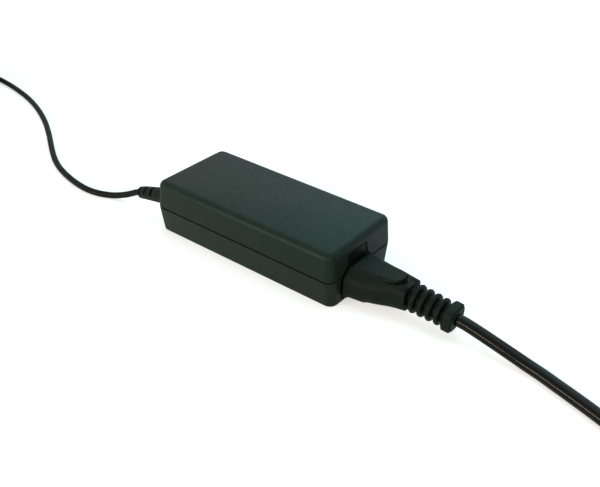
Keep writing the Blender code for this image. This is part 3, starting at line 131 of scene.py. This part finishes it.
# ---- Seam of the housing ----
SEAM_HEIGHT = 0.0151
SEAM_HALF_GAP = 0.00025
SEAM_LIPS = {
    "upper_case": SEAM_HEIGHT + SEAM_HALF_GAP,
    "lower_case": SEAM_HEIGHT - SEAM_HALF_GAP,
}
SEAM_EASE = 0.00018  # taken off each lip
SEAM_TOLERANCE = 0.00001

# ---- Skins over the model's faceted shapes ----
WELD_DISTANCE = 0.000002
FLAT_ANGLE = 0.3  # degrees between facets that are joined up
EDGE_SEGMENTS = 2
EDGE_ANGLE_MARGIN = 5.0  # degrees above the shading angle, for an edge to be rounded

# ---- Ties round the coils ----
TIE_CLEARANCE = 0.00007
TIE_THICKNESS = 0.00028
TIE_WIDTH = 0.0032
TIE_TWISTS = 3.5
TIE_TAIL = 0.0130
TIE_TAIL_RISE = 0.004
TIE_SIDE_DEPTH = 0.0005  # from its innermost point, of the side that the tails start from
TIE_ROUND = 24  # points round each turn that it holds
STRAND_SHARE = 0.20  # of the tie's width
STRAND_FLARE = 0.9  # how far the strands part at their ends
STRAND_FLARE_START = 0.8  # as a share of the tail
STRAND_FLARE_LENGTH = 0.2
STRAND_STEPS = 42
STRAND_SIDES = 10

# ---- Finishes ----
# Colour, least and most roughness, specular level, grain size and depth in metres, metallic.
FINISHES = {
    "case_plastic": ((0.0073, 0.0126, 0.0096), 0.44, 0.54, 0.13, 0.00028, 0.000012, 0.0),
    # the inlet's dark colour is partly its own plastic and partly painted shade of the recess round
    # the connector
    "inlet_plastic": ((0.0028, 0.0042, 0.0034), 0.40, 0.50, 0.07, 0.00030, 0.000006, 0.0),
    "moulded_rubber": ((0.0058, 0.0104, 0.0078), 0.44, 0.54, 0.06, 0.00040, 0.000010, 0.0),
    "cable_jacket": ((0.0012, 0.0018, 0.0014), 0.17, 0.22, 0.12, 0.00120, 0.000001, 0.0),
    "matt_jacket": ((0.0050, 0.0064, 0.0054), 0.46, 0.56, 0.07, 0.00060, 0.000003, 0.0),
    "plated_metal": ((0.72, 0.71, 0.68), 0.16, 0.30, 0.50, 0.00015, 0.000003, 1.0),
    "brass": ((0.72, 0.52, 0.23), 0.20, 0.36, 0.50, 0.00020, 0.000003, 1.0),
    "board": ((0.42, 0.34, 0.14), 0.45, 0.60, 0.40, 0.00060, 0.000008, 0.0),
    "component_black": ((0.020, 0.020, 0.022), 0.34, 0.48, 0.40, 0.00030, 0.000006, 0.0),
    "component_yellow": ((0.75, 0.55, 0.08), 0.38, 0.50, 0.40, 0.00050, 0.000008, 0.0),
    "component_blue": ((0.05, 0.16, 0.45), 0.30, 0.45, 0.40, 0.00060, 0.000010, 0.0),
    "ferrite": ((0.055, 0.055, 0.060), 0.55, 0.72, 0.40, 0.00025, 0.000010, 0.0),
    "copper": ((0.72, 0.32, 0.16), 0.22, 0.36, 0.50, 0.00100, 0.000040, 1.0),
    "aluminium": ((0.75, 0.75, 0.76), 0.28, 0.42, 0.50, 0.00020, 0.000004, 1.0),
    "film": ((0.75, 0.72, 0.62), 0.30, 0.45, 0.45, 0.00100, 0.000006, 0.0),
    "wire_red": ((0.45, 0.03, 0.03), 0.35, 0.48, 0.40, 0.00050, 0.000006, 0.0),
}

CASE_TINT = (0.54, 1.0, 0.92, 1.0)  # of the housing's highlights

# Scale, detail and roughness of the patterns that break up a finish.
MOTTLING = (160.0, 5.0, 0.65)
SMEARING = (420.0, 4.0, 0.6)
GRAIN_DETAIL = (2.0, 0.6)
MOTTLE_SHADES = (0.86, 1.14)
BUMP_STRENGTH = 0.7

# Painted shade in grooves: how far it looks for walls, how dark it gets, and between which openness.
GROOVE_SHADE_REACH = 0.004
GROOVE_SHADE_SAMPLES = 8
GROOVE_SHADE_DARKEST = 0.12
GROOVE_SHADE_RANGE = (0.35, 0.95)

# ---- Floor, surroundings and lamps ----
FLOOR_HALF_SIZE = 0.8
FLOOR_DROP = 0.0001  # below what lies on it
FLOOR_LIT = (0.60, 0.60, 0.60)  # as the object's surroundings
FLOOR_SEEN = (0.90, 0.90, 0.90)  # as the background
FLOOR_GLOW = 0.50
WHITE = (1.0, 1.0, 1.0, 1.0)
WORLD_COLOUR = (0.88, 0.98, 1.0, 1.0)
WORLD_STRENGTH = 0.33

# Place, target, size, power and colour.
LAMPS = {
    "key": ((-0.32, -0.86, 0.16), (0.06, 0.0, 0.01), (0.55, 0.08), 6.9, (1.0, 0.79, 0.50)),
    "fill": ((0.62, -0.66, 0.30), (0.06, 0.0, 0.01), (0.50, 0.40), 3.5, (1.0, 0.96, 0.88)),
    "top": ((0.0, 0.40, 1.30), (0.0, 0.0, 0.0), (1.2, 1.2), 7.3, (0.60, 0.97, 1.0)),
    "back": ((-0.26, 0.78, 0.62), (0.02, 0.0, 0.03), (0.60, 0.40), 1.6, (0.42, 1.0, 0.97)),
}

BODY_OF = {
    node: body for body, nodes in frame["record"]["behaviour"]["bodies"].items() for node in nodes
}
SLOT_OF = {entry["node"]: entry["material_slot"] for entry in frame["record"]["subparts"]}


# ---- Materials ----
def add(tree, kind, **values):
    """A node, with the sockets and settings given by name."""
    made = tree.nodes.new(kind)
    for name, value in values.items():
        if hasattr(made, name):
            setattr(made, name, value)
        else:
            made.inputs[name.replace("_", " ")].default_value = value
    return made


def noise(tree, place, scale, detail, rough):
    """A cloudy pattern, as a value from 0 to 1."""
    made = add(tree, "ShaderNodeTexNoise", Scale=scale, Detail=detail, Roughness=rough)
    tree.links.new(place, made.inputs["Vector"])
    return made.outputs["Fac"]


def remap(tree, value, to_min, to_max, from_min=0.3, from_max=0.7):
    """The value, stretched from one span to another."""
    spans = {"From_Min": from_min, "From_Max": from_max, "To_Min": to_min, "To_Max": to_max}
    made = add(tree, "ShaderNodeMapRange", **spans)
    tree.links.new(value, made.inputs["Value"])
    return made.outputs["Result"]


def mix(tree, factor, first, second):
    """The first colour where the factor is 0, and the second where it is 1."""
    made = add(tree, "ShaderNodeMix", data_type="RGBA")
    tree.links.new(factor, made.inputs["Factor"])
    colours = [s for s in made.inputs if s.type == "RGBA"]
    colours[0].default_value = (*first, 1.0)
    colours[1].default_value = (*second, 1.0)
    return next(s for s in made.outputs if s.type == "RGBA")


def paint_groove_shade(tree, colour):
    """The colour, darkened by painted shade in grooves."""
    around = add(
        tree, "ShaderNodeAmbientOcclusion", samples=GROOVE_SHADE_SAMPLES, Distance=GROOVE_SHADE_REACH
    )
    openness = remap(tree, around.outputs["AO"], GROOVE_SHADE_DARKEST, 1.0, *GROOVE_SHADE_RANGE)
    made = add(tree, "ShaderNodeMix", data_type="RGBA", blend_type="MULTIPLY")
    made.inputs["Factor"].default_value = 1.0
    colours = [s for s in made.inputs if s.type == "RGBA"]
    tree.links.new(colour, colours[0])
    tree.links.new(openness, colours[1])
    return next(s for s in made.outputs if s.type == "RGBA")


def finish(slot):
    """The material of a slot: mottled colour, uneven roughness and a fine moulded grain."""
    name = f"{slot}_finish"
    made = bpy.data.materials.get(name)
    if made:
        return made
    colour, least, most, specular, grain, depth, metallic = FINISHES[slot]
    made = bpy.data.materials.new(name)
    made.use_nodes = True
    tree = made.node_tree
    shader = tree.nodes["Principled BSDF"]
    place = add(tree, "ShaderNodeTexCoord").outputs["Object"]
    patches = noise(tree, place, *MOTTLING)
    darker, lighter = (tuple(min(share * c, 1.0) for c in colour) for share in MOTTLE_SHADES)
    shade = mix(tree, remap(tree, patches, 0.0, 1.0), darker, lighter)
    # the rubber's colour gets painted shade in its grooves and between its ribs
    if slot == "moulded_rubber":
        shade = paint_groove_shade(tree, shade)
    tree.links.new(shade, shader.inputs["Base Color"])
    smears = noise(tree, place, *SMEARING)
    tree.links.new(remap(tree, smears, least, most), shader.inputs["Roughness"])
    bump = add(tree, "ShaderNodeBump", Strength=BUMP_STRENGTH, Distance=depth)
    tree.links.new(noise(tree, place, 1.0 / grain, *GRAIN_DETAIL), bump.inputs["Height"])
    tree.links.new(bump.outputs["Normal"], shader.inputs["Normal"])
    shader.inputs["Specular IOR Level"].default_value = specular
    if slot == "case_plastic":
        shader.inputs["Specular Tint"].default_value = CASE_TINT
    shader.inputs["Metallic"].default_value = metallic
    return made


# ---- Pieces ----
def piece(name, shape, body, slot, *nodes, look=None):
    """A piece of the dressed model that rides on a body and may stand for CAD nodes."""
    made = bpy.data.objects.new(name, shape)
    bpy.context.scene.collection.objects.link(made)
    made.data.materials.append(finish(look or slot))
    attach(made, body)
    if nodes:
        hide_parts(*nodes)
    return made


def smooth(mesh, angle):
    """Shade the mesh smooth, apart from the edges sharper than the angle in degrees."""
    mesh.shade_smooth()
    mesh.set_sharp_from_angle(angle=math.radians(angle))
    return mesh


def skin(node, edge, angle):
    """A piece of a CAD node's own shape, its facets joined up and its sharp edges rounded."""
    bm = bmesh.new()
    bm.from_mesh(frame["nodes"][node].data)
    for vert in bm.verts if node in SEAM_LIPS else ():
        if abs(vert.co.z - SEAM_LIPS[node]) < SEAM_TOLERANCE:
            vert.co.z += math.copysign(SEAM_EASE, SEAM_LIPS[node] - SEAM_HEIGHT)
    bmesh.ops.remove_doubles(bm, verts=bm.verts, dist=WELD_DISTANCE)
    bmesh.ops.dissolve_limit(
        bm,
        angle_limit=math.radians(FLAT_ANGLE),
        verts=bm.verts,
        edges=bm.edges,
        use_dissolve_boundaries=False,
    )
    mesh = bpy.data.meshes.new(f"{node}_skin")
    bm.to_mesh(mesh)
    bm.free()
    smooth(mesh, angle)
    made = piece(f"{node}_skin", mesh, BODY_OF[node], SLOT_OF[node], node)
    if edge:
        bevel = made.modifiers.new("edges", "BEVEL")
        bevel.width = edge
        bevel.segments = EDGE_SEGMENTS
        bevel.limit_method = "ANGLE"
        bevel.angle_limit = math.radians(angle + EDGE_ANGLE_MARGIN)
        bevel.harden_normals = True
    return made


# ---- Cords ----
def smooth_line(points, step):
    """Points spaced evenly on a smooth curve through the given ones."""
    points = [np.array(point, float) for point in points]
    padded = [2 * points[0] - points[1], *points, 2 * points[-1] - points[-2]]
    fine = []
    for before, start, end, after in zip(padded, padded[1:], padded[2:], padded[3:]):
        for t in np.linspace(0.0, 1.0, CURVE_STEPS, endpoint=False):
            fine.append(
                0.5
                * (
                    2 * start
                    + (end - before) * t
                    + (2 * before - 5 * start + 4 * end - after) * t**2
                    + (3 * start - before - 3 * end + after) * t**3
                )
            )
    fine = np.array([*fine, points[-1]])
    reached = np.concatenate([[0.0], np.cumsum(np.linalg.norm(np.diff(fine, axis=0), axis=1))])
    wanted = np.linspace(0.0, reached[-1], max(2, round(reached[-1] / step)) + 1)
    return np.stack([np.interp(wanted, reached, fine[:, axis]) for axis in range(3)], 1)


def tangent(point, inward, centre):
    """The level direction round the centre at a point, towards the one further in."""
    radius = point[:2] - np.array(centre)
    level = np.array((-radius[1], radius[0], 0.0))
    level /= np.linalg.norm(level)
    return level * np.sign(np.dot(level, inward - point))


def coil_line(diameter, centre, radius, pitch, steps, layers, start):
    """Piled turns that spiral in and out again, climbing a layer where the spiral reverses."""
    total = math.radians(COIL_STEP) * steps
    layer_turn = total / layers
    spread = pitch * layer_turn / math.tau / 2
    points = []
    for step in range(steps + 1):
        turned_by = total * step / steps
        place = turned_by / layer_turn
        layer = min(int(place), layers - 1)
        way = 1.0 if layer % 2 == 0 else -1.0
        distance = radius + way * spread * (1.0 - 2.0 * (place - layer))
        height = 0.0
        for climb in range(1, layers):
            passed = min(max((turned_by - climb * layer_turn) / math.pi + 0.5, 0.0), 1.0)
            height += passed * passed * (3.0 - 2.0 * passed)
        angle = math.radians(start) + turned_by
        across = (centre[0] + distance * math.cos(angle), centre[1] + distance * math.sin(angle))
        points.append(np.array((*across, TIE_ROOM + diameter / 2 + pitch * height)))
    first = points[0] + tangent(points[0], points[1], centre) * -diameter
    last = points[-1] + tangent(points[-1], points[-2], centre) * -diameter
    return np.array([first, *points, last])


def leave(point, direction, diameter):
    """The first two points of a cord that comes straight out of a moulding."""
    way = np.array(direction) / np.linalg.norm(direction)
    start = np.array(point) + way * GAP
    return start, start + way * diameter


def cord_line(plan):
    """The whole middle line of a cord, and the part of it that is the coil."""
    diameter = plan["diameter"]
    step = ROUTE_SPACING * diameter
    coil = coil_line(diameter, **plan["coil"])
    coil_start = leave(coil[0], coil[0] - coil[1], diameter)
    coil_end = leave(coil[-1], coil[-1] - coil[-2], diameter)
    leaving = leave(*plan["leave"], diameter)
    arriving = leave(*plan["arrive"], diameter)
    stretch = smooth_line((leaving[1], *plan["route"], coil_start[1]), step)
    tail = smooth_line((coil_end[1], *plan["tail"], arriving[1]), step)
    whole = np.vstack([leaving[0], stretch, coil, tail, arriving[0]])
    line = smooth_line(whole, LINE_SPACING * diameter)
    line[:, 2] = np.maximum(line[:, 2], diameter / 2)
    return line, coil


def make_cord(name, plan, body, nodes, look):
    """A cord as one round piece, with its coil's turns and its length."""
    line, coil = cord_line(plan)
    curve = bpy.data.curves.new(name, "CURVE")
    curve.dimensions = "3D"
    curve.bevel_depth = plan["diameter"] / 2
    curve.bevel_resolution = CORD_ROUNDNESS
    curve.use_fill_caps = True
    spline = curve.splines.new("POLY")
    spline.points.add(len(line) - 1)
    for target, point in zip(spline.points, line):
        target.co = (*point, 1.0)
    spline.use_smooth = True
    made = piece(name, curve, body, "cable_jacket", *nodes, look=look)
    length = float(np.linalg.norm(np.diff(line, axis=0), axis=1).sum())
    return made, coil, length


# ---- Ties ----
def hull(points):
    """The convex outline of flat points, anticlockwise."""
    points = sorted(map(tuple, points))
    outline = []
    for row in (points, points[::-1]):
        start = len(outline)
        for point in row:
            while len(outline) - start > 1:
                (ax, ay), (bx, by) = outline[-2:]
                if (bx - ax) * (point[1] - ay) - (by - ay) * (point[0] - ax) > 0:
                    break
                outline.pop()
            outline.append(point)
        outline.pop()
    return np.array(outline)


def crossings(coil, centre, angle):
    """Where the coil's turns pass one angle round its centre, as distance and height."""
    way = np.array((math.cos(angle), math.sin(angle)))
    side = np.array((-way[1], way[0]))
    level = coil[:, :2] - np.array(centre)
    past = level @ side
    out = level @ way
    found = []
    for index in range(1, len(coil) - 1):
        if past[index] <= 0 < past[index + 1] and out[index] > 0:
            share = past[index] / (past[index] - past[index + 1])
            found.append(
                (
                    out[index] + (out[index + 1] - out[index]) * share,
                    coil[index, 2] + (coil[index + 1, 2] - coil[index, 2]) * share,
                )
            )
    return found


def sweep(bm, rows, closed):
    """Skin rows of points, round and round, and close the ends of an open sweep."""
    rings = [[bm.verts.new(point) for point in row] for row in rows]
    following = rings[1:] + rings[:1] if closed else rings[1:]
    for ring, after in zip(rings, following):
        for index in range(len(ring)):
            other = (index + 1) % len(ring)
            bm.faces.new((ring[index], ring[other], after[other], after[index]))
    if not closed:
        bm.faces.new(reversed(rings[0]))
        bm.faces.new(rings[-1])


def ribbon_section(width, thickness):
    """A flat strip with a wire down its middle, as (across, outward) points."""
    half, core = width / 2, width * 0.14
    edge, foot = thickness * 0.62, thickness * 0.72
    return (
        (-half, 0.0),
        (half, 0.0),
        (half, edge),
        (core, foot),
        (core * 0.5, thickness),
        (-core * 0.5, thickness),
        (-core, foot),
        (-half, edge),
    )


def make_tie(name, plan, coil, body):
    """A twist tie: a flat strip pulled round the turns, its two ends twisted together inside."""
    centre = plan["coil"]["centre"]
    angle = math.radians(plan["tie_angle"])
    radius = plan["diameter"] / 2 + TIE_CLEARANCE
    discs = [
        (distance + radius * math.cos(turn), height + radius * math.sin(turn))
        for distance, height in crossings(coil, centre, angle)
        for turn in np.linspace(0.0, math.tau, TIE_ROUND, endpoint=False)
    ]
    outline = hull(discs)
    way = Vector((math.cos(angle), math.sin(angle), 0.0))
    side = Vector((-way.y, way.x, 0.0))
    up = Vector((0.0, 0.0, 1.0))
    origin = Vector((*centre, 0.0))
    section = ribbon_section(TIE_WIDTH, TIE_THICKNESS)
    rows = []
    for index, point in enumerate(outline):
        before = outline[index - 1]
        after = outline[(index + 1) % len(outline)]
        along = np.array(after) - np.array(before)
        outward = np.array((along[1], -along[0])) / np.linalg.norm(along)
        base = origin + way * point[0] + up * point[1]
        out = way * outward[0] + up * outward[1]
        rows.append([base + side * across + out * away for across, away in section])
    bm = bmesh.new()
    sweep(bm, rows, True)
    inner = outline[:, 0].min()
    height = float(np.mean([z for r, z in outline if r < inner + TIE_SIDE_DEPTH]))
    start = origin + way * (inner - TIE_THICKNESS) + up * height
    strand = TIE_WIDTH * STRAND_SHARE
    for strand_side in (0.0, math.pi):
        rows = []
        for step in range(STRAND_STEPS + 1):
            share = step / STRAND_STEPS
            turn = strand_side + share * TIE_TWISTS * math.tau
            middle = start - way * (TIE_TAIL * share) + up * (TIE_TAIL_RISE * share * share)
            past = max(0.0, share - STRAND_FLARE_START)
            spread = strand * (1.0 + STRAND_FLARE * past / STRAND_FLARE_LENGTH)
            out = side * math.cos(turn) + up * math.sin(turn)
            flat = side * -math.sin(turn) + up * math.cos(turn)
            rows.append(
                [
                    middle
                    + out * (spread + strand * 0.9 * math.cos(t))
                    + flat * (strand * 1.5 * math.sin(t))
                    for t in np.linspace(0.0, math.tau, STRAND_SIDES, endpoint=False)
                ]
            )
        sweep(bm, rows, False)
    bmesh.ops.recalc_face_normals(bm, faces=bm.faces)
    mesh = bpy.data.meshes.new(name)
    bm.to_mesh(mesh)
    bm.free()
    return piece(name, smooth(mesh, 50.0), body, "component_black")


# ---- Dress the model ----
for node, shown in frame["nodes"].items():
    shown.data.materials.clear()
    shown.data.materials.append(finish(SLOT_OF[node]))

# The rounding of its edges in metres, and the least angle of an edge that stays sharp.
SKINS = {
    "upper_case": (0.0001, 30.0),
    "lower_case": (0.0001, 30.0),
    "inlet_housing": (0.00015, 30.0),
    "ac_connector": (0.0, 32.0),
    "mains_plug": (0.0, 32.0),
    "dc_strain_relief": (0.0, 40.0),
    "dc_plug_grip": (0.0, 40.0),
    "dc_plug_barrel": (0.0, 40.0),
    "plug_pin_earth": (0.0, 40.0),
}
skins = {node: skin(node, *settings) for node, settings in SKINS.items()}

ac_cord, ac_turns, ac_length = make_cord(
    "mains_lead_cord", AC, "mains_lead", ("ac_cord", "ac_coil", "ac_cord_tail"), "cable_jacket"
)
dc_cord, dc_turns, dc_length = make_cord(
    "low_voltage_cord", DC, "adapter", ("dc_cord", "dc_coil", "dc_cord_tail"), "matt_jacket"
)
ac_tie = make_tie("mains_lead_tie", AC, ac_turns, "mains_lead")
dc_tie = make_tie("low_voltage_tie", DC, dc_turns, "adapter")


# ---- Studio ----
def shown_rays(tree):
    """1 for the rays that see the background: straight, glossy and through glass."""
    path = add(tree, "ShaderNodeLightPath")
    total = path.outputs["Is Camera Ray"]
    for name in ("Is Glossy Ray", "Is Transmission Ray"):
        sum_node = add(tree, "ShaderNodeMath", operation="MAXIMUM")
        tree.links.new(total, sum_node.inputs[0])
        tree.links.new(path.outputs[name], sum_node.inputs[1])
        total = sum_node.outputs[0]
    return total


def build_floor():
    """A plain floor: mid-grey to the object, near white to the camera."""
    mesh = bpy.data.meshes.new("floor")
    half = FLOOR_HALF_SIZE
    corners = [(-half, -half, 0.0), (half, -half, 0.0), (half, half, 0.0), (-half, half, 0.0)]
    mesh.from_pydata(corners, [], [(0, 1, 2, 3)])
    made = bpy.data.objects.new("floor", mesh)
    made.location.z = -FLOOR_DROP
    bpy.context.scene.collection.objects.link(made)
    material = bpy.data.materials.new("floor_paper")
    material.use_nodes = True
    tree = material.node_tree
    shader = tree.nodes["Principled BSDF"]
    shader.inputs["Roughness"].default_value = 1.0
    shader.inputs["Specular IOR Level"].default_value = 0.0
    shader.inputs["Emission Color"].default_value = WHITE
    seen = add(tree, "ShaderNodeLightPath").outputs["Is Camera Ray"]
    tree.links.new(mix(tree, seen, FLOOR_LIT, FLOOR_SEEN), shader.inputs["Base Color"])
    strength = add(tree, "ShaderNodeMath", operation="MULTIPLY")
    strength.inputs[1].default_value = FLOOR_GLOW
    tree.links.new(shown_rays(tree), strength.inputs[0])
    tree.links.new(strength.outputs[0], shader.inputs["Emission Strength"])
    mesh.materials.append(material)


def build_world():
    """Soft light from all round, and white where the background is seen."""
    world = bpy.data.worlds.new("studio")
    world.use_nodes = True
    tree = world.node_tree
    light = tree.nodes["Background"]
    light.inputs["Color"].default_value = WORLD_COLOUR
    light.inputs["Strength"].default_value = WORLD_STRENGTH
    seen = add(tree, "ShaderNodeBackground", Strength=1.0)
    seen.inputs["Color"].default_value = WHITE
    choose = add(tree, "ShaderNodeMixShader")
    tree.links.new(shown_rays(tree), choose.inputs[0])
    tree.links.new(light.outputs[0], choose.inputs[1])
    tree.links.new(seen.outputs[0], choose.inputs[2])
    tree.links.new(choose.outputs[0], tree.nodes["World Output"].inputs["Surface"])
    bpy.context.scene.world = world


def lamp(name, place, target, size, power, colour):
    """A soft rectangular lamp, turned towards its target."""
    data = bpy.data.lights.new(name, "AREA")
    data.shape = "RECTANGLE"
    data.size, data.size_y = size
    data.energy = power
    data.color = colour
    made = bpy.data.objects.new(name, data)
    made.location = place
    aim = Vector(target) - Vector(place)
    made.rotation_euler = aim.to_track_quat("-Z", "Y").to_euler()
    bpy.context.scene.collection.objects.link(made)


def build_camera():
    data = bpy.data.cameras.new("camera")
    data.sensor_width = SENSOR_WIDTH
    data.lens = CAMERA_LENS
    data.clip_start = NEAREST_SEEN
    made = bpy.data.objects.new("camera", data)
    axes = (Vector(CAMERA_RIGHT), Vector(CAMERA_UP), -Vector(CAMERA_AHEAD))
    place = Matrix(axes).transposed().to_4x4()
    place.translation = CAMERA_PLACE
    made.matrix_world = place
    bpy.context.scene.collection.objects.link(made)
    bpy.context.scene.camera = made


build_floor()
build_world()
build_camera()
for lamp_name, settings in LAMPS.items():
    lamp(lamp_name, *settings)
bpy.context.scene.view_settings.view_transform = "Standard"
